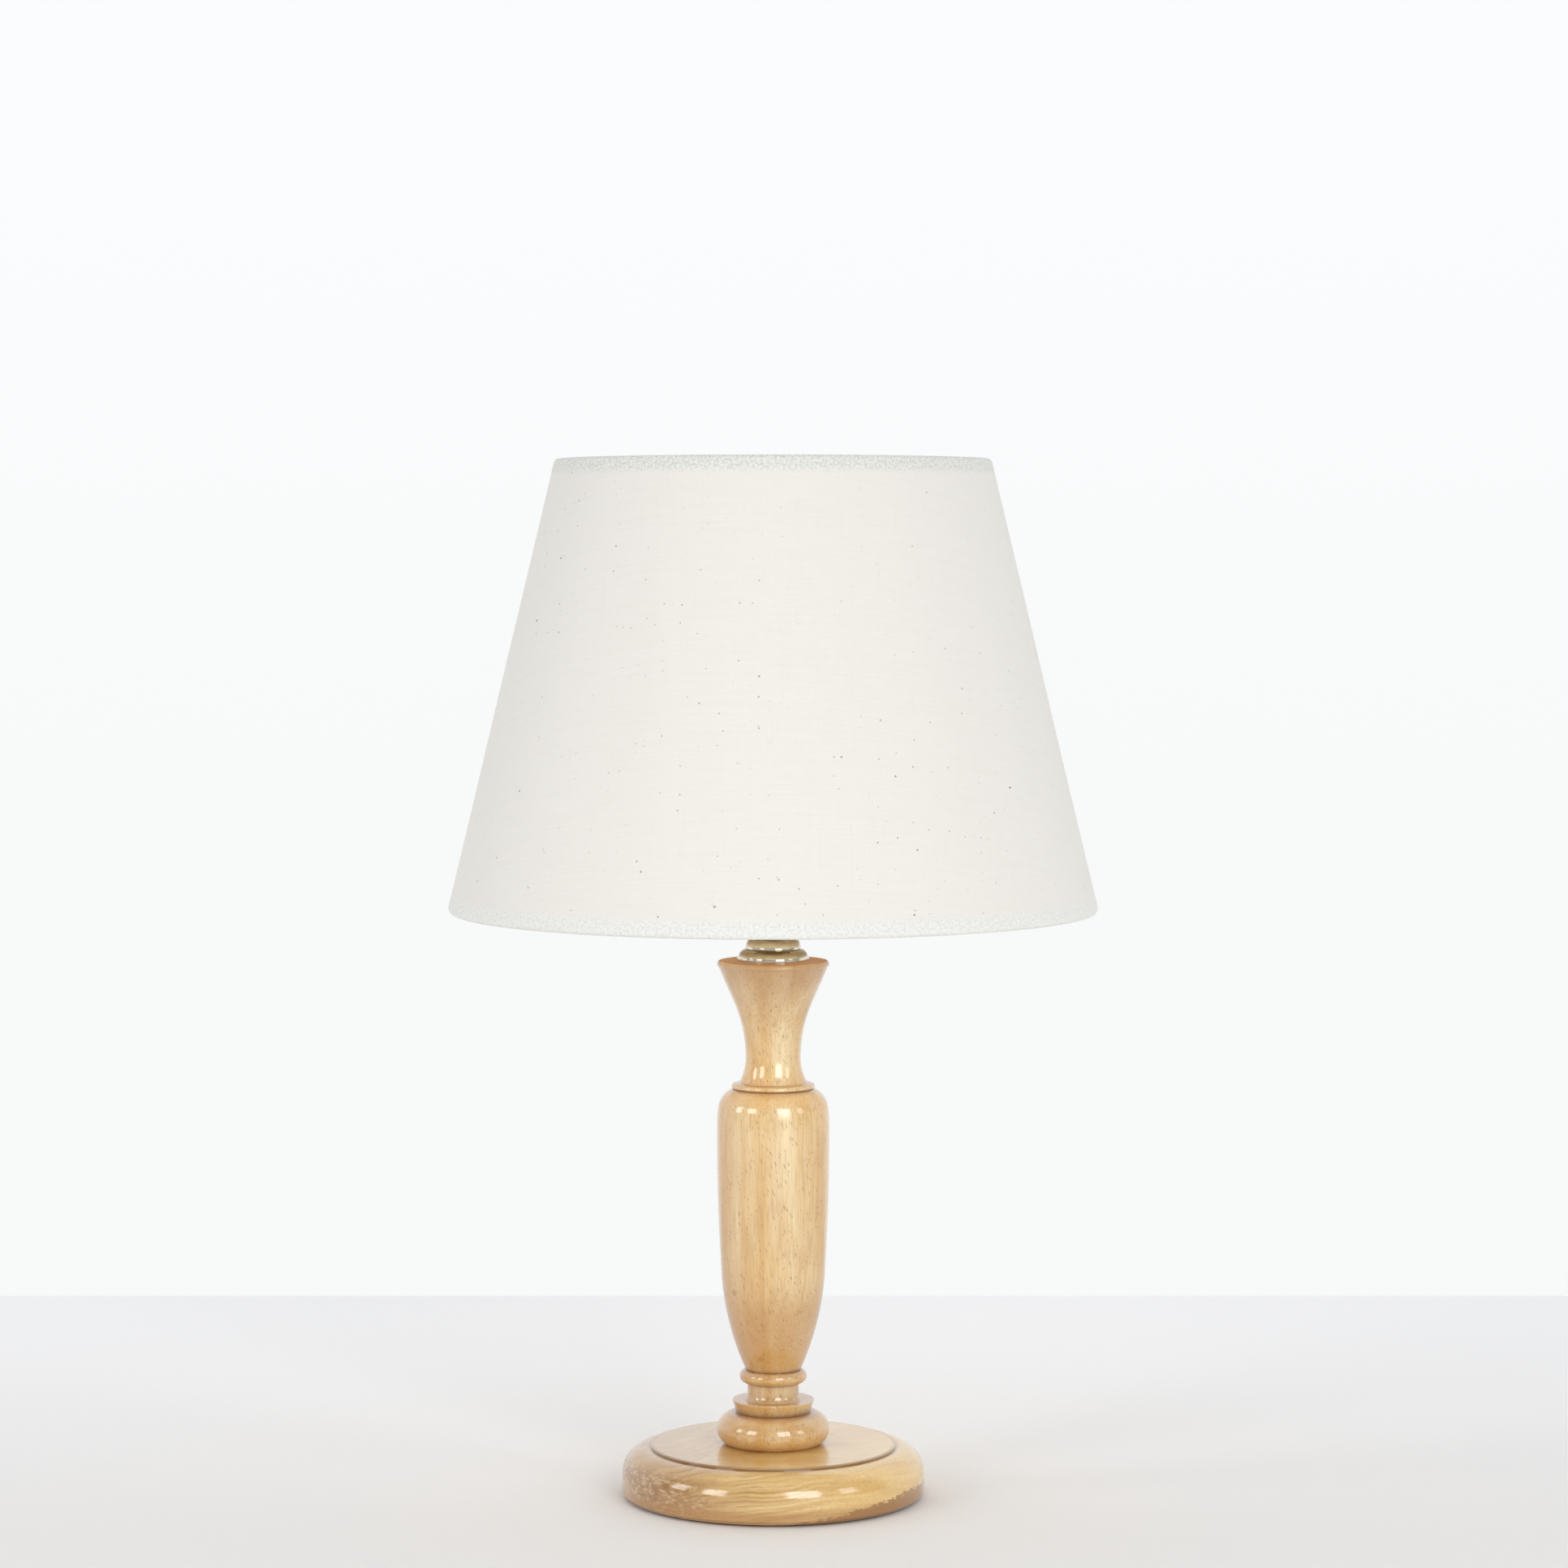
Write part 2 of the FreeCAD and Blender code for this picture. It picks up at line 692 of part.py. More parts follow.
# ---------------------------------------------------------------- bulb
def bulb_contact():
    button = Outline(0, bulb_bottom).line(bulb_contact_flat / 2, bulb_bottom)
    button.arc(bulb_contact_diameter / 2, bulb_bottom + bulb_contact_height, leaving=OUT)
    return button.line(0, bulb_bottom + bulb_contact_height).turn()


def bulb_insulator():
    bottom = bulb_bottom + bulb_contact_height
    cone = Outline(0, bottom).line(bulb_contact_diameter / 2 + bulb_insulator_ledge, bottom)
    cone.line(bulb_cap_diameter / 2 - bulb_cap_wall, bottom + bulb_insulator_height)
    return cone.line(0, bottom + bulb_insulator_height).turn()


def bulb_cap():
    radius = bulb_cap_diameter / 2
    bottom = bulb_bottom + bulb_contact_height + bulb_insulator_height
    return ring(radius - bulb_cap_wall, radius, bottom, bottom + bulb_cap_height)


def glass_outline(wall):
    """The glass outside, or its hollow when a wall is taken off."""
    neck = bulb_neck_diameter / 2 - wall
    ball = bulb_diameter / 2
    cap_rim = bulb_bottom + bulb_contact_height + bulb_insulator_height + bulb_cap_height
    ball_level = bulb_bottom + bulb_length - ball
    start = cap_rim - bulb_neck_height + wall
    glass = Outline(0, start).line(neck, start).line(neck, cap_rim + bulb_neck_rise)
    lean = math.radians(bulb_shoulder_lean)
    contact = Vector((ball - wall) * math.cos(lean), 0, ball_level - (ball - wall) * math.sin(lean))
    joining = Vector(math.sin(lean), 0, math.cos(lean))
    glass.arc(contact.x, contact.z, arriving=joining)
    glass.arc(0, ball_level + ball - wall)
    return glass.turn()


def bulb_glass():
    return solid_of(glass_outline(0).cut(glass_outline(bulb_glass_wall)))


PIECES = {
    "felt_pad": felt_pad,
    "base": base,
    "cord_grommet": cord_grommet,
    "column": column,
    "threaded_tube": threaded_tube,
    "tube_washer": tube_washer,
    "tube_nut": tube_nut,
    "stepped_cap": stepped_cap,
    "top_nut": top_nut,
    "holder_cup": holder_cup,
    "grub_screw": grub_screw,
    "switch_block": switch_block,
    "switch_bar": switch_bar,
    "terminals": terminals,
    "terminal_screws": terminal_screws,
    "holder_skirt": holder_skirt,
    "socket_liner": socket_liner,
    "screw_shell": screw_shell,
    "centre_contact": centre_contact,
    "contact_rivet": contact_rivet,
    "lower_pinch_ring": lambda: pinch_ring(shade_seat - pinch_ring_height),
    "upper_pinch_ring": lambda: pinch_ring(fitter_top + seat_gap),
    "shade_cover": shade_cover,
    "shade_lining": shade_lining,
    "shade_top_wire": lambda: wire_ring(top_wire),
    "shade_low_wire": lambda: wire_ring(low_wire),
    "fitter_arms": fitter_arms,
    "fitter_ring": fitter_ring,
    "bulb_glass": bulb_glass,
    "bulb_cap": bulb_cap,
    "bulb_insulator": bulb_insulator,
    "bulb_contact": bulb_contact,
}

os.makedirs("parts", exist_ok=True)
for name, make in PIECES.items():
    shape = make()
    shape.exportStep("parts/" + name + ".step")
    box = shape.BoundBox
    print(name, len(shape.Solids), "solids", round(shape.Volume), "mm3",
          "z", round(box.ZMin, 1), round(box.ZMax, 1), "" if shape.isValid() else "NOT VALID")
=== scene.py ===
import json
import math

import bmesh
import bpy
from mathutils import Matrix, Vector


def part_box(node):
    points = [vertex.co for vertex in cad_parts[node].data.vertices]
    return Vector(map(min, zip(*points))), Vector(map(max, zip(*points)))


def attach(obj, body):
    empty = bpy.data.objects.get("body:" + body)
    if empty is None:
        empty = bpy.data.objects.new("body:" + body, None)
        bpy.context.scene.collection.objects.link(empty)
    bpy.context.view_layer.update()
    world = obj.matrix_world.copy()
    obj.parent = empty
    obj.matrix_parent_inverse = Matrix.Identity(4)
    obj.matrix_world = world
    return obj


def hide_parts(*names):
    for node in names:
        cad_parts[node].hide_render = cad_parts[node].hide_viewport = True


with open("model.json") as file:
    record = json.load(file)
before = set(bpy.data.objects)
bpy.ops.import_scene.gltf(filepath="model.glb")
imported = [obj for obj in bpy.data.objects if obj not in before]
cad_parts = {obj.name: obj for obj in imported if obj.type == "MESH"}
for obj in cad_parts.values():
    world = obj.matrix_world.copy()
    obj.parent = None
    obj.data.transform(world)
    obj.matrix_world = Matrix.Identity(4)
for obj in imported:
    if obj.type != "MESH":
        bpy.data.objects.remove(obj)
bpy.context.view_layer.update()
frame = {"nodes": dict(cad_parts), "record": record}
scene = bpy.context.scene
print("frame loaded")

camera = {
    "lens": 99.94,
    "sensor": 36.0,
    "place": (0.0050, -2.0, 0.440),
    "pitch": 3.133,
}


def makeCamera():
    data = bpy.data.cameras.new("camera")
    data.lens = camera["lens"]
    data.sensor_width = camera["sensor"]
    eye = bpy.data.objects.new("camera", data)
    eye.location = camera["place"]
    eye.rotation_euler = (math.radians(90 - camera["pitch"]), 0, 0)
    scene.collection.objects.link(eye)
    scene.camera = eye


# Short ways to add and join nodes in one tree.
class Graph:
    def __init__(self, tree):
        self.tree = tree

    def add(self, kind, settings=None, **values):
        made = self.tree.nodes.new(kind)
        for name, value in (settings or {}).items():
            setattr(made, name, value)
        for name, value in values.items():
            self.feed(made, name, value)
        return made

    def feed(self, made, name, value):
        key = int(name[1:]) if name[0] == "i" and name[1:].isdigit() else name.replace("_", " ")
        socket = made.inputs[key]
        if isinstance(value, bpy.types.NodeSocket):
            self.tree.links.new(value, socket)
        else:
            socket.default_value = value

    def math(self, operation, a, b=0.0):
        return self.add("ShaderNodeMath", {"operation": operation}, i0=a, i1=b).outputs[0]

    def chain(self, operation, values):
        total = values[0]
        for value in values[1:]:
            total = self.math(operation, total, value)
        return total

    def times(self, *values):
        return self.chain("MULTIPLY", values)

    def parts(self, vector):
        return self.add("ShaderNodeSeparateXYZ", None, Vector=vector).outputs

    def scaled(self, vector, scale, turn=(0, 0, 0), move=(0, 0, 0)):
        made = self.add("ShaderNodeMapping", None, Vector=vector, Scale=scale, Rotation=turn, Location=move)
        return made.outputs[0]

    def noise(self, vector, scale, detail=3.0, roughness=0.5, distortion=0.0):
        made = self.add("ShaderNodeTexNoise", None, Vector=vector, Scale=scale, Detail=detail)
        made.inputs["Roughness"].default_value = roughness
        made.inputs["Distortion"].default_value = distortion
        return made.outputs[0]

    # Voronoi cells: the distance from each cell's middle, and three random numbers for each cell.
    def cells(self, vector, dimensions="3D"):
        settings = {"feature": "F1", "voronoi_dimensions": dimensions}
        made = self.add("ShaderNodeTexVoronoi", settings, Vector=vector, Scale=1.0)
        pick = self.add("ShaderNodeSeparateColor", None, Color=made.outputs["Color"])
        return made.outputs["Distance"], pick.outputs

    # A smooth step from start to end as a value passes from low to high.
    def step(self, value, low, high, start=0.0, end=1.0):
        made = self.add("ShaderNodeMapRange", {"interpolation_type": "SMOOTHSTEP"}, Value=value)
        for name, number in (("From Min", low), ("From Max", high), ("To Min", start), ("To Max", end)):
            made.inputs[name].default_value = number
        return made.outputs[0]

    def ramp(self, value, stops):
        made = self.add("ShaderNodeValToRGB", None, Fac=value)
        ramp = made.color_ramp
        while len(ramp.elements) < len(stops):
            ramp.elements.new(0.5)
        for element, (place, color) in zip(ramp.elements, stops):
            element.position = place
            element.color = (*color, 1)
        return made.outputs[0]

    def mix(self, share, a, b):
        made = self.add("ShaderNodeMix", {"data_type": "RGBA", "blend_type": "MIX", "clamp_factor": True})
        for index, value in ((0, share), (6, a), (7, b)):
            if isinstance(value, bpy.types.NodeSocket):
                self.tree.links.new(value, made.inputs[index])
            else:
                made.inputs[index].default_value = (*value, 1) if isinstance(value, tuple) else value
        return made.outputs[2]

    def bump(self, height, strength, distance):
        made = self.add("ShaderNodeBump", None, Height=height, Strength=strength, Distance=distance)
        return made.outputs[0]


# A Principled material, with plain values set on the shader's own sockets.
def newMaterial(name, **values):
    made = bpy.data.materials.new(name)
    made.use_nodes = True
    graph = Graph(made.node_tree)
    shader = made.node_tree.nodes["Principled BSDF"]
    for key, value in values.items():
        graph.feed(shader, key, value)
    return made, graph, shader


def join(graph, shader, **links):
    for name, socket in links.items():
        graph.feed(shader, name, socket)


# A linear colour from screen values.
def srgb(red, green, blue):
    def linear(value):
        share = value / 255
        return share / 12.92 if share <= 0.04045 else ((share + 0.055) / 1.055) ** 2.4
    return tuple(linear(value) for value in (red, green, blue))


beech = {
    "pale": srgb(241, 211, 156),
    "deep": srgb(206, 155, 94),
    "brown": srgb(166, 112, 62),
    "fleck": srgb(158, 104, 48),
    "coatRoughness": 0.12,
    "coatIor": 1.76,
    # for each size of fleck: cells to a metre, share of empty cells, size in a cell, lean in degrees
    "fleckLayers": (((860, 860, 125), 0.44, 0.24, 14), ((620, 620, 110), 0.66, 0.22, 30),
                    ((1300, 1300, 190), 0.46, 0.27, 22)),
    "creaseReach": 0.006,
}


# An effect that several materials share, with named inputs and outputs. Places are in metres.
def newGroup(name, inputs, outputs):
    group = bpy.data.node_groups.new(name, "ShaderNodeTree")
    for label, kind in inputs.items():
        group.interface.new_socket(label, in_out="INPUT", socket_type=kind)
    for label in outputs:
        group.interface.new_socket(label, in_out="OUTPUT", socket_type="NodeSocketFloat")
    graph = Graph(group)
    return group, graph, graph.add("NodeGroupInput").outputs


# A shared effect's outputs, with this material's own values put in.
def effect(graph, name, **values):
    return graph.add("ShaderNodeGroup", {"node_tree": groups[name]}, **values).outputs


# Beech's ray flecks: short thin dashes along the third axis.
def makeFleckGroup():
    group, graph, given = newGroup("rayFlecks", {"Place": "NodeSocketVector"}, ["Flecks"])
    masks = []
    for scale, share, size, lean in beech["fleckLayers"]:
        turned = graph.scaled(given["Place"], (1, 1, 1), (0, math.radians(lean), 0))
        distance, pick = graph.cells(graph.scaled(turned, scale))
        chosen = graph.step(pick[0], share, share + 0.3)
        near = graph.step(distance, size * 0.4, size, 1.0, 0.0)
        masks.append(graph.times(near, chosen))
    graph.add("NodeGroupOutput", None, Flecks=graph.chain("MAXIMUM", masks))
    return group


# Painted shade in creases: how far a place lies in a crease, from ambient occlusion, so that the colour can
# be darkened where shade falls.
def makeCreaseGroup():
    group, graph, given = newGroup("paintedCreaseShade", {"Reach": "NodeSocketFloat"}, ["Crease"])
    settings = {"samples": 6, "only_local": True}
    openSky = graph.add("ShaderNodeAmbientOcclusion", settings, Distance=given["Reach"])
    graph.add("NodeGroupOutput", None, Crease=graph.step(openSky.outputs["AO"], 0.30, 0.92, 0.85, 0.0))
    return group


# Fine wood fibres, drawn out along the axis with the lowest scale.
def makeFibreGroup():
    inputs = {"Place": "NodeSocketVector", "Scale": "NodeSocketVector"}
    group, graph, given = newGroup("woodFibres", inputs, ["Fibres"])
    fibres = graph.noise(graph.scaled(given["Place"], given["Scale"]), 1.0, 3.0, 0.6)
    graph.add("NodeGroupOutput", None, Fibres=fibres)
    return group


# Spun or turned metal: fine rings round the axis, and where it has tarnished.
def makeSpunGroup():
    inputs = {"Place": "NodeSocketVector", "Tarnish Scale": "NodeSocketVector"}
    group, graph, given = newGroup("spunMetal", inputs, ["Rings", "Tarnish"])
    rings = graph.noise(graph.scaled(given["Place"], (30, 30, 5200)), 1.0, 2.0)
    tarnish = graph.noise(graph.scaled(given["Place"], given["Tarnish Scale"]), 1.0, 4.0, 0.6)
    graph.add("NodeGroupOutput", None, Rings=rings, Tarnish=tarnish)
    return group


# The faint mottling of moulded and glazed pieces.
def makeMottleGroup():
    inputs = {"Place": "NodeSocketVector", "Scale": "NodeSocketFloat"}
    group, graph, given = newGroup("mouldedMottle", inputs, ["Mottle"])
    graph.add("NodeGroupOutput", None, Mottle=graph.noise(given["Place"], given["Scale"], 3.0))
    return group


groups = {
    "flecks": makeFleckGroup(),
    "shadeInCreases": makeCreaseGroup(),
    "fibres": makeFibreGroup(),
    "spun": makeSpunGroup(),
    "mottle": makeMottleGroup(),
}
print("shared effects made")

# Places are in metres: heights from the table, and distances to the right of the axis.
column = {
    "slope": srgb(214, 166, 106),
    "endGrain": srgb(170, 116, 66),
    "lowTone": srgb(200, 146, 80),
    "neckGrainAndShade": srgb(192, 138, 82),
    "leftDarker": srgb(204, 156, 104),
    "crease": srgb(120, 70, 30),
    "lowBody": (0.086, 0.106),
    "footBulb": (0.050, 0.066),
    "neck": (0.226, 0.250),
    "topLand": (0.225, 0.240),
    "leftSide": (-0.026, -0.004),
    "fibreScale": (1500, 1500, 55),
}


# Upright grain: broad streaks, fine fibres and flecks, darker where the turning cuts across the grain.
def columnWood():
    made, graph, shader = newMaterial("beechColumn", Coat_Roughness=beech["coatRoughness"],
                                      Coat_IOR=beech["coatIor"])
    source = graph.add("ShaderNodeTexCoord")
    place = source.outputs["Object"]
    streaks = graph.noise(graph.scaled(place, (95, 95, 5.5)), 1.0, 4.0, 0.55, 0.5)
    bands = graph.noise(graph.scaled(place, (38, 38, 2.2), move=(3, 1, 0)), 1.0, 2.0, 0.5)
    fibres = effect(graph, "fibres", Place=place, Scale=column["fibreScale"])["Fibres"]
    cloud = graph.noise(graph.scaled(place, (60, 60, 28), move=(0, 5, 2)), 1.0, 3.0, 0.6)
    tone = graph.math("ADD", graph.times(streaks, 0.62), graph.times(bands, 0.38))
    color = graph.ramp(tone, [(0.34, srgb(212, 162, 94)), (0.45, srgb(232, 190, 122)),
                              (0.55, beech["pale"]), (0.68, srgb(252, 230, 182))])
    color = graph.mix(graph.step(cloud, 0.50, 0.75, 0.0, 0.35), color, beech["deep"])
    color = graph.mix(graph.step(fibres, 0.42, 0.66, 0.0, 0.27), color, beech["brown"])
    across = graph.math("ABSOLUTE", graph.parts(source.outputs["Normal"])[2])
    color = graph.mix(graph.step(across, 0.12, 0.60, 0.0, 0.34), color, column["slope"])
    color = graph.mix(graph.step(across, 0.75, 0.98, 0.0, 0.60), color, column["endGrain"])
    leftward, _, level = graph.parts(place)
    level = graph.math("ADD", level, graph.times(graph.math("SUBTRACT", cloud, 0.5), 0.016))
    lower = graph.times(graph.step(level, *column["lowBody"], 0.62, 0.0),
                        graph.step(level, *column["footBulb"], 0.35, 1.0))
    color = graph.mix(lower, color, column["lowTone"])
    # Darker towards the top rim, on the flare that faces down under it: partly the end grain's own tone,
    # partly painted shade under the rim and the lampshade.
    color = graph.mix(graph.step(level, *column["neck"], 0.0, 0.62), color, column["neckGrainAndShade"])
    land = graph.times(graph.step(across, 0.86, 0.98), graph.step(level, *column["topLand"]))
    # Painted shade: the column's colour darkens towards its left side, away from the brightest light.
    color = graph.mix(graph.step(leftward, *column["leftSide"], 0.40, 0.0), color, column["leftDarker"])
    # Painted shade: the wood darkens in creases and under the rings, where shade falls.
    crease = effect(graph, "shadeInCreases", Reach=beech["creaseReach"])["Crease"]
    color = graph.mix(crease, color, column["crease"])
    flecks = effect(graph, "flecks", Place=place)["Flecks"]
    color = graph.mix(graph.times(flecks, 0.78), color, beech["fleck"])
    distance, pick = graph.cells(graph.scaled(place, (70, 70, 95)))
    smudge = graph.times(graph.step(distance, 0.06, 0.20, 1.0, 0.0), graph.step(pick[1], 0.80, 0.9))
    color = graph.mix(graph.times(smudge, graph.times(cloud, 0.9)), color, beech["brown"])
    relief = graph.math("SUBTRACT", fibres, graph.times(flecks, 0.8))
    join(graph, shader, Base_Color=color, Normal=graph.bump(relief, 0.12, 0.0002))
    ripple = graph.noise(graph.scaled(place, (55, 55, 35)), 1.0, 1.0)
    join(graph, shader, Coat_Normal=graph.bump(ripple, 0.05, 0.0004),
         Coat_Weight=graph.step(land, 0.0, 1.0, 1.0, 0.06),
         Roughness=graph.step(land, 0.0, 1.0, 0.42, 0.75))
    return made


# Places are in metres: heights from the table, and distances to the right of the axis.
foot = {
    "grooveRadius": 0.0567,
    "linesPerMetre": 520.0,
    "lineRise": 0.14,
    "line": srgb(148, 98, 48),
    "groove": srgb(140, 96, 52),
    "darkBand": srgb(156, 102, 22),
    "darkBandTop": 0.0088,
    "leftDarker": srgb(162, 112, 48),
    "rightTone": srgb(248, 208, 128),
    "lowTone": srgb(180, 126, 56),
    "crease": srgb(116, 72, 32),
    "linesFade": (-0.030, 0.028),
    "mottleFade": (-0.058, -0.014),
    "leftFade": (-0.060, 0.010),
    "rightFade": (0.006, 0.050),
    "lowEdge": (0.0050, 0.0085),
    "sideTop": (0.0165, 0.0215),
    "grooveEdge": (0.0200, 0.0222),
    "discTop": (0.0225, 0.0240),
    "fibreScale": (60, 1500, 1500),
}


# Lying grain: long lines that rise to the right, a mottled left side and a dark band low on the right.
def baseWood():
    made, graph, shader = newMaterial("beechBase", Roughness=0.42, Coat_Weight=1.0,
                                      Coat_Roughness=beech["coatRoughness"], Coat_IOR=beech["coatIor"])
    source = graph.add("ShaderNodeTexCoord")
    place = source.outputs["Object"]
    x, y, z = graph.parts(place)
    warp = graph.noise(graph.scaled(place, (16, 14, 30), move=(0.3, 0, 0)), 1.0, 2.0, 0.45)
    small = graph.noise(graph.scaled(place, (60, 160, 160)), 1.0, 3.0, 0.55)
    rise = graph.chain("ADD", (
        graph.math("SUBTRACT", z, graph.times(x, foot["lineRise"])),
        graph.times(x, x, 1.1),
        graph.times(y, 0.10),
        graph.times(graph.math("SUBTRACT", warp, 0.5), 0.016),
        graph.times(graph.math("SUBTRACT", small, 0.5), 0.0022),
    ))
    rings = graph.math("FRACT", graph.times(rise, foot["linesPerMetre"]))
    lines = graph.times(graph.step(rings, 0.55, 0.93), graph.step(rings, 0.93, 1.0, 1.0, 0.0))
    along = graph.add("ShaderNodeCombineXYZ", None, X=graph.times(x, 14.0), Y=graph.times(y, 30.0),
                      Z=graph.times(rise, 330.0)).outputs[0]
    streaks = graph.noise(along, 1.0, 4.0, 0.6)
    color = graph.ramp(streaks, [(0.30, srgb(206, 160, 92)), (0.44, srgb(224, 183, 114)),
                                 (0.58, srgb(238, 203, 134)), (0.74, srgb(248, 220, 158))])
    leftLines = graph.step(x, *foot["linesFade"], 1.0, 0.12)
    presence = graph.noise(graph.scaled(place, (24, 30, 60), move=(1, 2, 5)), 1.0, 2.0)
    linesHere = graph.times(lines, graph.step(presence, 0.36, 0.58), leftLines,
                            graph.step(z, *foot["discTop"], 1.0, 0.35))
    color = graph.mix(graph.times(linesHere, 0.75), color, foot["line"])
    mottle = graph.noise(graph.scaled(place, (230, 230, 520)), 1.0, 4.0, 0.7, 0.2)
    side = graph.step(z, *foot["sideTop"], 1.0, 0.0)
    leftSide = graph.times(graph.step(x, *foot["mottleFade"], 1.0, 0.0), side)
    mottled = graph.ramp(mottle, [(0.42, srgb(138, 90, 38)), (0.50, srgb(184, 138, 78)),
                                  (0.59, srgb(248, 226, 184))])
    color = graph.mix(graph.times(leftSide, 0.90), color, mottled)
    color = graph.mix(graph.step(x, *foot["leftFade"], 0.58, 0.0), color, foot["leftDarker"])
    color = graph.mix(graph.step(x, *foot["rightFade"], 0.0, 0.50), color, foot["rightTone"])
    lowest = graph.step(z, *foot["lowEdge"], 1.0, 0.0)
    color = graph.mix(graph.times(lowest, 0.66), color, foot["lowTone"])
    edge = graph.times(graph.math("SUBTRACT", x, 0.004), 0.15)
    edge = graph.math("SUBTRACT", graph.math("MINIMUM", edge, foot["darkBandTop"]), z)
    edge = graph.math("ADD", edge, graph.times(graph.math("SUBTRACT", mottle, 0.5), 0.009))
    band = graph.times(graph.step(edge, -0.0008, 0.0), graph.step(y, -0.02, 0.01, 1.0, 0.0))
    color = graph.mix(graph.times(band, 0.88), color, foot["darkBand"])
    # Darker in and beside the groove round the disc: partly the finish gathered in the groove, partly
    # painted shade falling into it.
    plan = graph.add("ShaderNodeCombineXYZ", None, X=x, Y=y).outputs[0]
    reach = graph.add("ShaderNodeVectorMath", {"operation": "LENGTH"}, i0=plan).outputs[1]
    off = graph.math("ABSOLUTE", graph.math("SUBTRACT", reach, foot["grooveRadius"]))
    groove = graph.times(graph.step(off, 0.0002, 0.0022, 1.0, 0.0), graph.step(z, *foot["grooveEdge"]))
    color = graph.mix(graph.times(groove, 0.60), color, foot["groove"])
    # Painted shade: the wood darkens in creases, where shade falls.
    crease = effect(graph, "shadeInCreases", Reach=beech["creaseReach"])["Crease"]
    color = graph.mix(crease, color, foot["crease"])
    fibres = effect(graph, "fibres", Place=place, Scale=foot["fibreScale"])["Fibres"]
    color = graph.mix(graph.step(fibres, 0.44, 0.66, 0.0, 0.20), color, beech["brown"])
    lying = graph.add("ShaderNodeCombineXYZ", None, X=y, Y=z, Z=x).outputs[0]
    flecks = effect(graph, "flecks", Place=lying)["Flecks"]
    color = graph.mix(graph.times(flecks, 0.35), color, beech["fleck"])
    relief = graph.math("SUBTRACT", fibres, graph.times(linesHere, 0.6))
    join(graph, shader, Base_Color=color, Normal=graph.bump(relief, 0.12, 0.0002))
    ripple = graph.noise(graph.scaled(place, (55, 55, 35)), 1.0, 1.0)
    join(graph, shader, Coat_Normal=graph.bump(ripple, 0.05, 0.0004))
    return made


# Spun or turned metal: fine rings round the axis and a little tarnish.
def turnedMetal(name, color, roughness, lines=0.10):
    made, graph, shader = newMaterial(name, Metallic=1.0)
    place = graph.add("ShaderNodeTexCoord").outputs["Object"]
    rings, tarnish = effect(graph, "spun", Place=place, Tarnish_Scale=(130, 130, 130))
    dull = tuple(0.72 * value for value in color)
    join(graph, shader,
         Base_Color=graph.mix(graph.step(tarnish, 0.45, 0.75, 0.0, 0.5), color, dull),
         Roughness=graph.step(tarnish, 0.35, 0.75, roughness, roughness + 0.12),
         Normal=graph.bump(rings, lines, 0.00005))
    return made


cap = {
    "upright": srgb(236, 226, 202),
    "upward": srgb(150, 134, 108),
    "flange": srgb(248, 248, 246),
    "tarnish": srgb(114, 98, 76),
    "flangeRise": 0.0010,
    "flangeFade": 0.0003,
}


# Old lacquered brass with a little tarnish, and painted reflections: pale where the steps stand upright,
# brown on their upper sides, and a nearly white flange top.
def capMetal():
    made, graph, shader = newMaterial("cappedBrass", Metallic=1.0)
    source = graph.add("ShaderNodeTexCoord")
    tilt = graph.parts(source.outputs["Normal"])[2]
    place = source.outputs["Object"]
    rings, tarnish = effect(graph, "spun", Place=place, Tarnish_Scale=(190, 190, 420))
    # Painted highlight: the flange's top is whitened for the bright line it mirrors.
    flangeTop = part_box("stepped_cap")[0].z + cap["flangeRise"]
    flange = graph.step(graph.parts(place)[2], flangeTop, flangeTop + cap["flangeFade"], 0.85, 0.0)
    # Painted reflection: faces that tilt upward are made brown for the dark they mirror.
    color = graph.mix(graph.step(tilt, 0.06, 0.62), cap["upright"], cap["upward"])
    color = graph.mix(flange, color, cap["flange"])
    color = graph.mix(graph.step(tarnish, 0.45, 0.75, 0.0, 0.45), color, cap["tarnish"])
    join(graph, shader, Base_Color=color, Roughness=graph.step(tarnish, 0.35, 0.75, 0.07, 0.20),
         Normal=graph.bump(rings, 0.05, 0.00005))
    return made


# White coating on the shade's wires, with a slight pebble.
def wireMetal():
    made, graph, shader = newMaterial("coatedWire", Roughness=0.38)
    place = graph.add("ShaderNodeTexCoord").outputs["Object"]
    pebble = graph.noise(place, 900.0, 2.0)
    hollows = graph.step(pebble, 0.4, 0.7, 0.0, 0.3)
    join(graph, shader,
         Base_Color=graph.mix(hollows, srgb(238, 236, 228), srgb(214, 210, 200)),
         Normal=graph.bump(pebble, 0.15, 0.0002))
    return made


# A moulded or glazed surface, with faint mottling and orange peel.
def moulding(name, color, roughness, speckle=0.12):
    made, graph, shader = newMaterial(name)
    place = graph.add("ShaderNodeTexCoord").outputs["Object"]
    mottle = effect(graph, "mottle", Place=place, Scale=350.0)["Mottle"]
    darker = tuple(max(0.0, value * (1 - speckle) - 0.002) for value in color)
    join(graph, shader,
         Base_Color=graph.mix(mottle, color, darker),
         Roughness=graph.step(mottle, 0.3, 0.7, roughness, roughness + 0.08),
         Normal=graph.bump(mottle, 0.08, 0.0002))
    return made


def feltMaterial():
    made, graph, shader = newMaterial("felt", Roughness=0.95, Sheen_Weight=0.4)
    place = graph.add("ShaderNodeTexCoord").outputs["Object"]
    fuzz = graph.noise(place, 1600.0, 5.0, 0.7)
    join(graph, shader,
         Base_Color=graph.mix(fuzz, srgb(128, 108, 84), srgb(172, 150, 120)),
         Normal=graph.bump(fuzz, 0.6, 0.0008))
    return made


bulb = {
    "glow": 4.5,
    "litBetween": (0.335, 0.372),
}


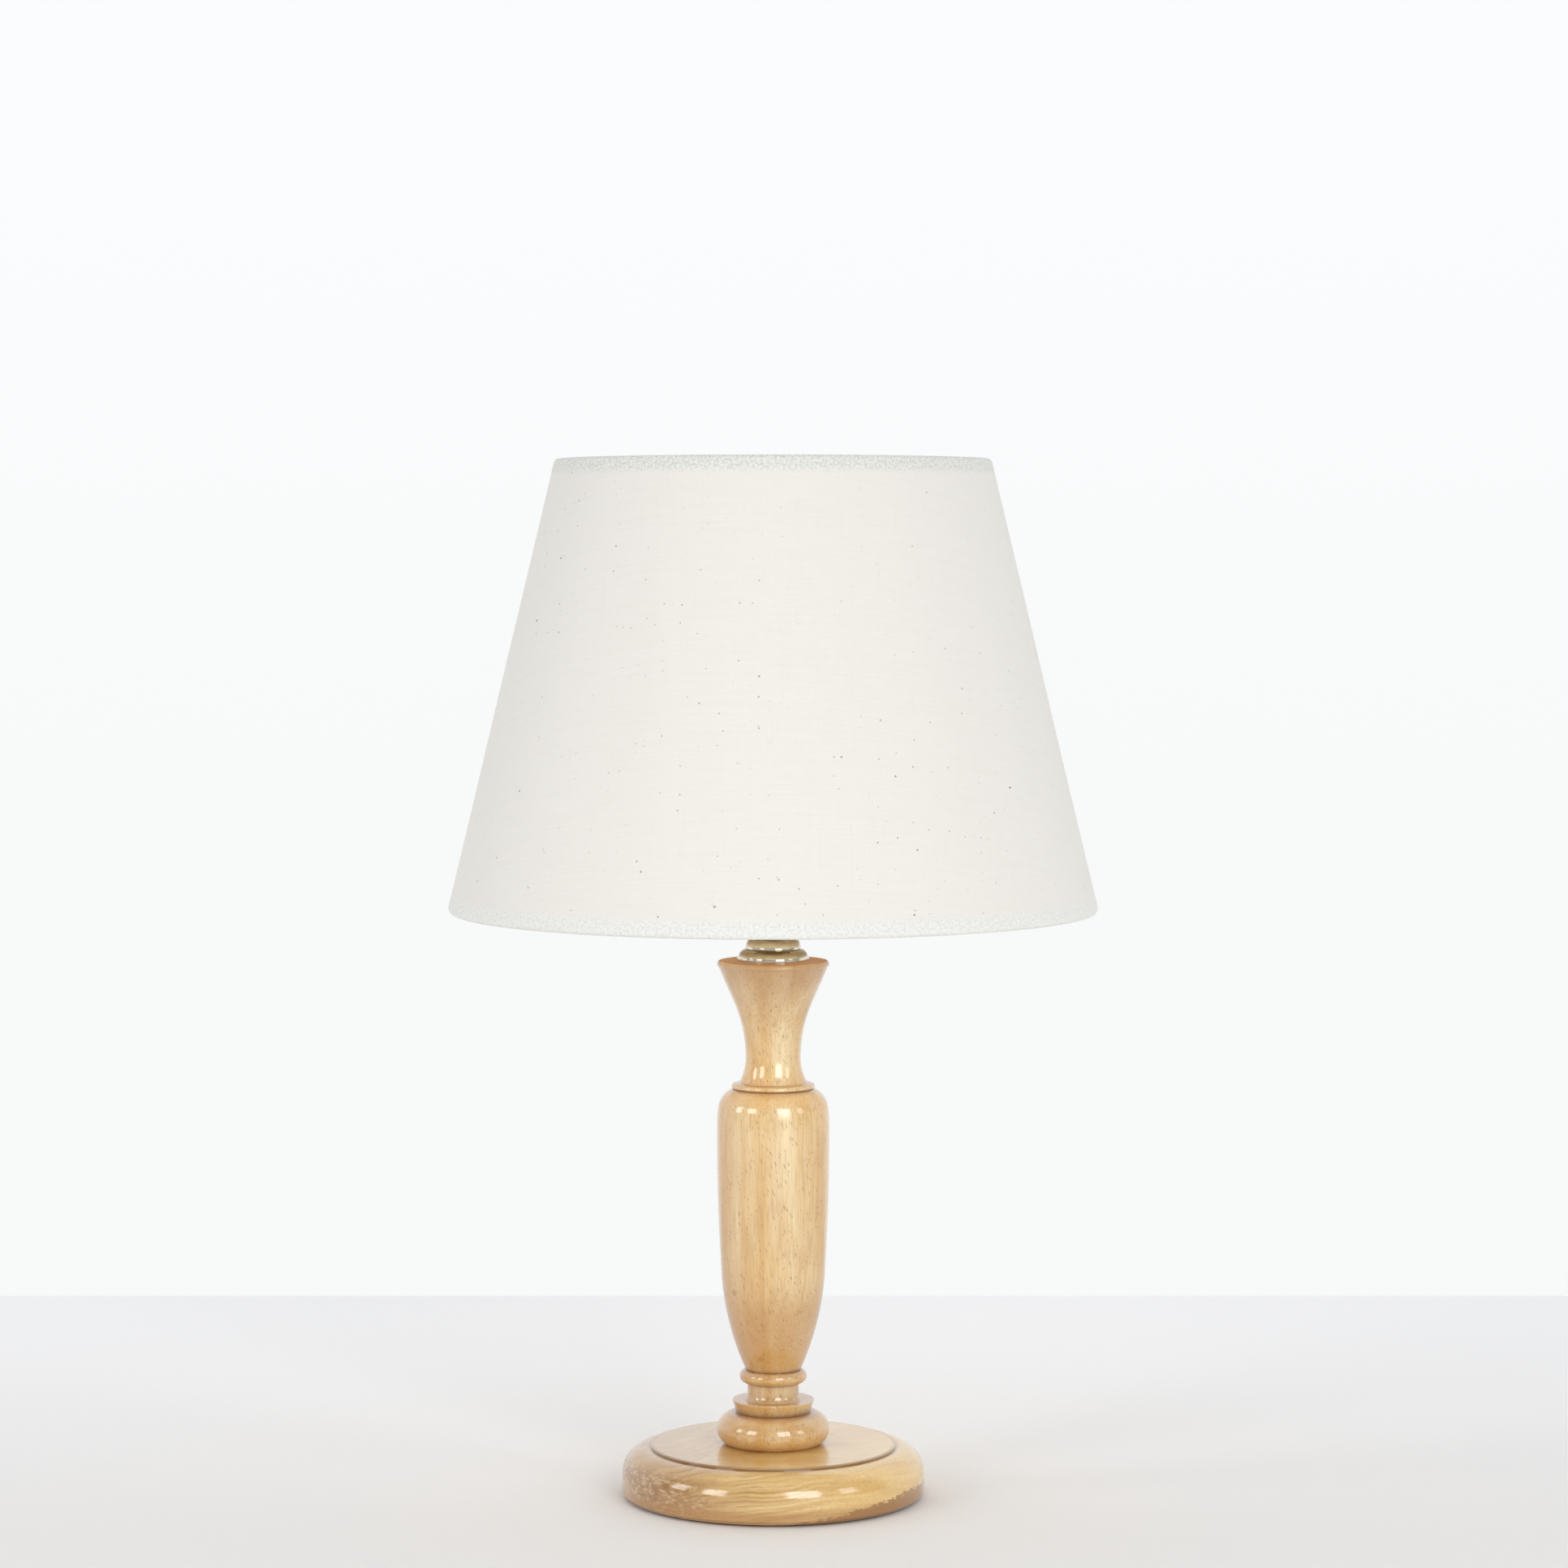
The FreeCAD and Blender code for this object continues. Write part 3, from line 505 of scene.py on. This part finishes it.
# Opal glass with the lit filament's soft light behind it.
def bulbMaterial():
    made, graph, shader = newMaterial("opalGlass", Roughness=0.22, Coat_Weight=0.6, Coat_Roughness=0.05)
    place = graph.add("ShaderNodeTexCoord").outputs["Object"]
    warm = graph.step(graph.parts(place)[2], *bulb["litBetween"])
    join(graph, shader,
         Base_Color=graph.mix(warm, srgb(226, 220, 208), srgb(250, 246, 236)),
         Emission_Color=graph.mix(warm, srgb(160, 130, 90), srgb(255, 226, 178)))
    shader.inputs["Emission Strength"].default_value = bulb["glow"]
    return made


linen = {
    "warp": srgb(245, 242, 236),
    "weft": srgb(240, 236, 229),
    "slub": srgb(222, 216, 202),
    "speck": srgb(84, 74, 60),
    "hem": srgb(242, 244, 239),
    "threadsPerMetre": 1900.0,
    # for each size of speck: cells to a metre, share of empty cells, least size, spread of sizes,
    # faintest, darkest, shift
    "speckLayers": (
        (56, 0.93, 0.022, 0.014, 0.45, 0.95, 0),
        (115, 0.86, 0.030, 0.024, 0.30, 0.75, 3),
        (250, 0.93, 0.050, 0.040, 0.12, 0.50, 5),
    ),
}


# Plain weave on the cloth's flat coordinates, in metres, with slubs, specks and the coarser hems.
def linenMaterial():
    made, graph, shader = newMaterial("linen", Roughness=0.85, Sheen_Weight=0.15, Sheen_Roughness=0.5)
    flat = graph.add("ShaderNodeUVMap", {"uv_map": "flat"}).outputs[0]
    hemMask = graph.add("ShaderNodeAttribute", {"attribute_name": "hem"}).outputs["Fac"]
    split = graph.parts(flat)
    wobble = graph.noise(graph.scaled(flat, (55, 55, 1)), 1.0, 2.0)
    shift = graph.times(graph.math("SUBTRACT", wobble, 0.5), 2.5)
    waves = []
    for axis in (0, 1):
        turns = graph.times(split[axis], linen["threadsPerMetre"] * math.pi)
        waves.append(graph.math("ABSOLUTE", graph.math("SINE", graph.math("ADD", turns, shift))))
    weave = graph.math("MAXIMUM", *waves)
    weftSlubs = graph.noise(graph.scaled(flat, (26, 900, 1)), 1.0, 3.0, 0.62)
    warpSlubs = graph.noise(graph.scaled(flat, (900, 26, 1), move=(4, 2, 0)), 1.0, 3.0, 0.62)
    longStreaks = graph.noise(graph.scaled(flat, (9, 230, 1), move=(1, 6, 0)), 1.0, 3.0, 0.5)
    color = graph.mix(graph.step(weftSlubs, 0.38, 0.72, 0.0, 0.38), linen["warp"], linen["weft"])
    color = graph.mix(graph.step(warpSlubs, 0.56, 0.80, 0.0, 0.16), color, linen["slub"])
    color = graph.mix(graph.step(longStreaks, 0.55, 0.78, 0.0, 0.05), color, linen["slub"])
    color = graph.mix(graph.step(weave, 0.55, 0.95, 0.16, 0.0), color, linen["slub"])
    specks = []
    for scale, share, small, large, weak, strong, move in linen["speckLayers"]:
        distance, pick = graph.cells(graph.scaled(flat, (scale, scale, 1), move=(move, move, 0)), "2D")
        spot = graph.math("LESS_THAN", distance, graph.math("ADD", graph.times(pick[1], large), small))
        chosen = graph.math("GREATER_THAN", pick[0], share)
        specks.append(graph.times(spot, chosen, graph.step(pick[2], 0.0, 1.0, weak, strong)))
    patches = graph.noise(graph.scaled(flat, (14, 14, 1), move=(7, 1, 0)), 1.0, 2.0)
    speck = graph.times(graph.chain("MAXIMUM", specks), graph.step(patches, 0.35, 0.60, 0.25, 1.0))
    color = graph.mix(speck, color, linen["speck"])
    coarse = graph.noise(graph.scaled(flat, (820, 820, 1)), 1.0, 2.0, 0.7)
    hemColor = graph.mix(graph.step(coarse, 0.42, 0.60), linen["hem"], srgb(213, 215, 207))
    hemEdge = graph.times(hemMask, graph.step(coarse, 0.30, 0.55, 0.65, 1.0))
    # Painted light: the hem is lightened low down on the shade, for light thrown up from the floor.
    level = graph.parts(graph.add("ShaderNodeTexCoord").outputs["Object"])[2]
    lowHemLight = graph.step(level, 0.30, 0.44, 0.42, 0.0)
    hemColor = graph.mix(lowHemLight, hemColor, (1.0, 1.0, 0.985))
    color = graph.mix(graph.times(hemEdge, 0.85), color, hemColor)
    height = graph.chain("ADD", (graph.times(weave, 0.6), graph.times(weftSlubs, 0.35),
                                 graph.times(hemMask, coarse, 1.4)))
    join(graph, shader, Base_Color=color, Normal=graph.bump(height, 0.35, 0.0003))
    return made


# White laminate: smooth, with a faint print of the weave behind it.
def liningMaterial():
    made, graph, shader = newMaterial("lining", Roughness=0.45)
    place = graph.add("ShaderNodeTexCoord").outputs["Object"]
    faint = graph.noise(place, 700.0, 2.0)
    share = graph.step(faint, 0.3, 0.7, 0.0, 0.4)
    join(graph, shader,
         Base_Color=graph.mix(share, srgb(250, 248, 240), srgb(236, 232, 220)),
         Normal=graph.bump(faint, 0.06, 0.0002))
    return made


shade = {
    "columns": 400,
    "rows": 64,
    "clothThickness": 0.0006,
    "sheetShare": 0.7,
    "hemBand": 0.0056,
    "hemTurn": 285,
    "hemSteps": 18,
    "lap": 0.010,
    "lapRadius": 0.125,
    "lapRise": 0.02,
    "lapRelief": 0.0004,
    "ripple": 0.00035,
}


# The cloth's line from the inside of the low hem, over the outer face, to the inside of the top hem.
# Each point is (radius, height, length along the cloth, share of hem, way up the slant, slant).
def shadeSection():
    rings = {}
    for name in ("shade_low_wire", "shade_top_wire"):
        low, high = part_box(name)
        wire = (high[2] - low[2]) / 2
        rings[name] = Vector((high[0] - wire, 0, (high[2] + low[2]) / 2)), wire
    (lowCentre, wire), (topCentre, _) = rings["shade_low_wire"], rings["shade_top_wire"]
    hem = lowCentre.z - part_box("shade_cover")[0][2]
    upward = (topCentre - lowCentre).normalized()
    outward = Vector((upward.z, 0, -upward.x))
    radius = hem - shade["clothThickness"] / 2

    def hemArc(centre, side, reverse):
        points = []
        for k in range(shade["hemSteps"] + 1):
            turn = math.radians(shade["hemTurn"] * k / shade["hemSteps"])
            points.append(centre + radius * (outward * math.cos(turn) - upward * (side * math.sin(turn))))
        return points[::-1] if reverse else points

    lowArc = hemArc(lowCentre, 1, True)
    topArc = hemArc(topCentre, -1, False)
    start, end = lowArc[-1], topArc[0]
    face = [start.lerp(end, k / shade["rows"]) for k in range(1, shade["rows"])]
    points = lowArc + face + topArc
    section = []
    length = 0.0
    slant = (end - start).length
    for index, point in enumerate(points):
        if index:
            length += (point - points[index - 1]).length
        along = (point - start).dot(upward)
        edge = min(along, slant - along)
        hemShare = 1.0 if edge < shade["hemBand"] else 0.0
        section.append((point.x, point.z, length, hemShare, along, slant))
    return section, outward


# One sheet of linen that goes once round, lapped over its own edge at the back.
def makeShadeCover():
    section, outward = shadeSection()
    low, top = section[shade["hemSteps"]], section[shade["hemSteps"] + shade["rows"]]
    lean = math.atan2(low[0] - top[0], top[1] - low[1])
    outer = low[0] / math.sin(lean) + low[2]
    mesh = bpy.data.meshes.new("linen_cover")
    body = bmesh.new()
    flat = body.loops.layers.uv.new("flat")
    hemLayer = body.verts.layers.float.new("hem")
    lapAngle = shade["lap"] / shade["lapRadius"]
    span = 2 * math.pi + lapAngle
    start = math.pi / 2 - lapAngle / 2
    grid = []
    places = {}
    for i in range(shade["columns"] + 1):
        turn = span * i / shade["columns"]
        angle = start + turn
        over = max(0.0, min(1.0, (turn - 2 * math.pi + shade["lapRise"]) / shade["lapRise"]))
        row = []
        for radius, height, length, hemShare, along, slant in section:
            middle = math.sin(math.pi * min(1.0, max(0.0, along / slant)))
            waves = math.sin(angle * 5 + height * 9) + 0.6 * math.sin(angle * 13 + 1.3)
            ripple = shade["ripple"] * middle * waves
            reach = radius + outward.x * (over * shade["lapRelief"] - abs(ripple))
            rise = height + outward.z * (over * shade["lapRelief"])
            vert = body.verts.new((reach * math.cos(angle), reach * math.sin(angle), rise))
            vert[hemLayer] = hemShare
            bend = (turn - math.pi) * math.sin(lean)
            distance = outer - length
            places[vert] = (distance * math.sin(bend), -distance * math.cos(bend))
            row.append(vert)
        grid.append(row)
    for left, right in zip(grid, grid[1:]):
        for k in range(len(section) - 1):
            face = body.faces.new((left[k], right[k], right[k + 1], left[k + 1]))
            face.smooth = True
            for loop in face.loops:
                loop[flat].uv = places[loop.vert]
    body.normal_update()
    body.to_mesh(mesh)
    body.free()
    cover = bpy.data.objects.new("linen_cover", mesh)
    scene.collection.objects.link(cover)
    thickness = cover.modifiers.new("thickness", "SOLIDIFY")
    thickness.thickness = shade["clothThickness"] * shade["sheetShare"]
    thickness.offset = 0.0
    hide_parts("shade_cover")
    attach(cover, "shade")
    return cover


stage = {
    "floor": srgb(250, 250, 251),
    "floorFrontShade": srgb(243, 242, 241),
    "cameraGlow": 0.15,
    "back": 0.537,
    "halfWidth": 1.8,
    "front": -1.75,
}
softboxes = [
    {"name": "right", "azimuth": 23, "elevation": 17, "size": (1.00, 1.15), "radiance": 5.0},
    {"name": "left", "azimuth": -46, "elevation": 17, "size": (0.68, 0.85), "radiance": 4.8},
    {"name": "farLeft", "azimuth": -77, "elevation": 17, "size": (0.50, 0.70), "radiance": 4.4},
    {"name": "farRight", "azimuth": 60, "elevation": 17, "size": (0.50, 0.75), "radiance": 3.0},
]
softboxDistance = 2.2
softboxAim = Vector((0, 0, 0.2))


def makeStage():
    mesh = bpy.data.meshes.new("floor")
    back, front = stage["back"], stage["front"]
    body = bmesh.new()
    bmesh.ops.create_grid(body, x_segments=1, y_segments=1, size=1.0)
    bmesh.ops.scale(body, vec=(stage["halfWidth"], (back - front) / 2, 1), verts=body.verts)
    bmesh.ops.translate(body, vec=(0, (back + front) / 2, 0), verts=body.verts)
    body.to_mesh(mesh)
    body.free()
    plane = bpy.data.objects.new("floor", mesh)
    scene.collection.objects.link(plane)
    # Painted light on the floor: darker towards the front, lighter towards the wall, where it also glows a
    # little for the camera only.
    made, graph, shader = newMaterial("floor", Roughness=0.9)
    place = graph.add("ShaderNodeTexCoord").outputs["Object"]
    depth = graph.parts(place)[1]
    cameraRay = graph.add("ShaderNodeLightPath").outputs["Is Camera Ray"]
    seen = graph.times(graph.step(depth, -0.1, 0.56), cameraRay)
    join(graph, shader,
         Base_Color=graph.mix(graph.step(depth, -0.3, 0.5), stage["floorFrontShade"], stage["floor"]),
         Emission_Color=graph.mix(seen, (0.0, 0.0, 0.0), (1.0, 1.0, 1.0)))
    shader.inputs["Emission Strength"].default_value = stage["cameraGlow"]
    mesh.materials.append(made)


def makeLights():
    for box in softboxes:
        data = bpy.data.lights.new(box["name"], "AREA")
        data.shape = "RECTANGLE"
        data.size, data.size_y = box["size"]
        data.energy = box["radiance"] * math.pi * data.size * data.size_y
        light = bpy.data.objects.new(box["name"], data)
        azimuth, elevation = math.radians(box["azimuth"]), math.radians(box["elevation"])
        toward = Vector((math.cos(elevation) * math.sin(azimuth), -math.cos(elevation) * math.cos(azimuth),
                         math.sin(elevation)))
        light.location = softboxAim + toward * softboxDistance
        light.rotation_euler = (-toward).to_track_quat("-Z", "Y").to_euler()
        scene.collection.objects.link(light)


# A bright white room behind the lamp, darker in front and in shiny metal, and a pale wall for the camera.
def makeWorld():
    world = bpy.data.worlds.new("room")
    world.use_nodes = True
    scene.world = world
    graph = Graph(world.node_tree)
    background = world.node_tree.nodes["Background"]
    place = graph.add("ShaderNodeTexCoord").outputs["Generated"]
    _, depth, height = graph.parts(place)
    soft = graph.ramp(height, [(0.0, (0.09, 0.095, 0.10)), (1.0, (0.55, 0.55, 0.56))])
    room = graph.ramp(height, [(0.0, (0.45, 0.455, 0.46)), (0.08, (0.50, 0.50, 0.52)),
                               (0.14, (0.05, 0.045, 0.04)), (0.50, (0.14, 0.13, 0.12)),
                               (0.80, (0.45, 0.45, 0.46))])
    paths = graph.add("ShaderNodeLightPath")
    light = graph.mix(paths.outputs["Is Glossy Ray"], soft, room)
    behind = graph.step(depth, 0.0, 0.30)
    light = graph.mix(behind, light, (0.86, 0.87, 0.88))
    wall = graph.mix(graph.step(height, -0.12, 0.10), srgb(248, 249, 249), srgb(250, 252, 253))
    mirrored = graph.math("MAXIMUM", paths.outputs["Is Glossy Ray"], paths.outputs["Is Transmission Ray"])
    mirrored = graph.times(mirrored, behind)
    seen = graph.math("MAXIMUM", paths.outputs["Is Camera Ray"], mirrored)
    graph.feed(background, "Color", graph.mix(seen, light, wall))
    background.inputs["Strength"].default_value = 1.0


# Each CAD node gets its own material where it has one, or else its slot's.
def dress(materials):
    slots = {part["node"]: part["material_slot"] for part in frame["record"]["subparts"]}
    own = {"column": "column", "base": "base", "stepped_cap": "cap"}
    for name, node in frame["nodes"].items():
        material = materials[own.get(name, slots[name])]
        for index in range(max(1, len(node.material_slots))):
            if index >= len(node.data.materials):
                node.data.materials.append(material)
            node.material_slots[index].material = material


materials = {
    "column": columnWood(),
    "base": baseWood(),
    "felt": feltMaterial(),
    "grommet": moulding("grommet", srgb(176, 138, 90), 0.5),
    "steel": turnedMetal("zincSteel", srgb(200, 202, 204), 0.30),
    "cap": capMetal(),
    "brass": turnedMetal("brass", srgb(216, 188, 130), 0.16, 0.05),
    "moulding": moulding("phenolic", srgb(30, 28, 27), 0.40),
    "switch": moulding("switchBar", srgb(32, 30, 29), 0.25),
    "contact_metal": turnedMetal("contactBrass", srgb(214, 184, 120), 0.32),
    "ceramic": moulding("ceramic", srgb(240, 237, 228), 0.18, 0.04),
    "lining": liningMaterial(),
    "linen": linenMaterial(),
    "frame_wire": wireMetal(),
    "opal_glass": bulbMaterial(),
    "bulb_metal": turnedMetal("bulbAluminium", srgb(206, 206, 204), 0.25),
    "bulb_insulator": moulding("blackGlass", srgb(22, 20, 22), 0.15),
}
dress(materials)
print("materials made")

cover = makeShadeCover()
cover.data.materials.append(materials["linen"])
print("shade made")

makeCamera()
makeStage()
makeLights()
makeWorld()
scene.view_settings.view_transform = "Standard"
print("stage and lights made")
